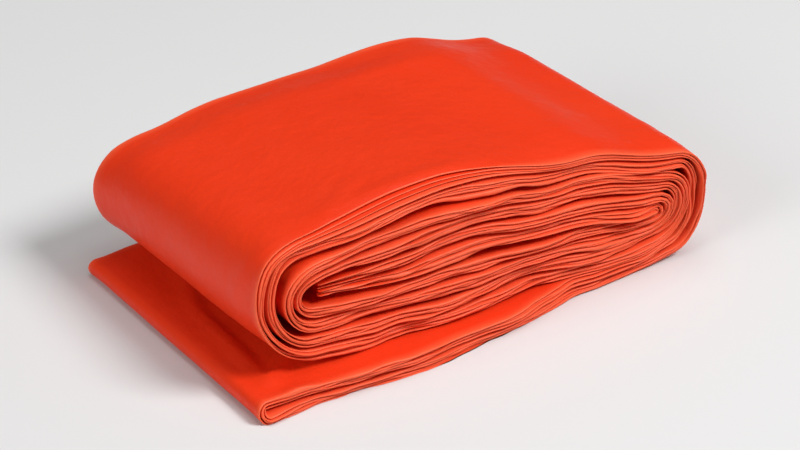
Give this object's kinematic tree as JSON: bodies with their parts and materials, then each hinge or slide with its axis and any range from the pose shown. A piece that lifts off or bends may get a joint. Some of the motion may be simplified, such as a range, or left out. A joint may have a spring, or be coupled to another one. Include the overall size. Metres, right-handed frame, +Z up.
{
  "type": "folded bivvy bag",
  "caption": "Orange film survival bag folded into a flat-rolled bundle, with the loose end of its strip as a flap underneath.",
  "frame": {"origin": "on the ground under the middle of the bundle's box", "axes": "+X along the layers, from the fold over the loose flap to the rounded right end; +Y across the strip, from the front edge to the back; +Z up"},
  "size_m": [0.1872, 0.1252, 0.0584],
  "materials": {
    "film": "satin"
  },
  "bodies": {
    "root": {"folded_bag": "film"}
  },
  "joints": []
}
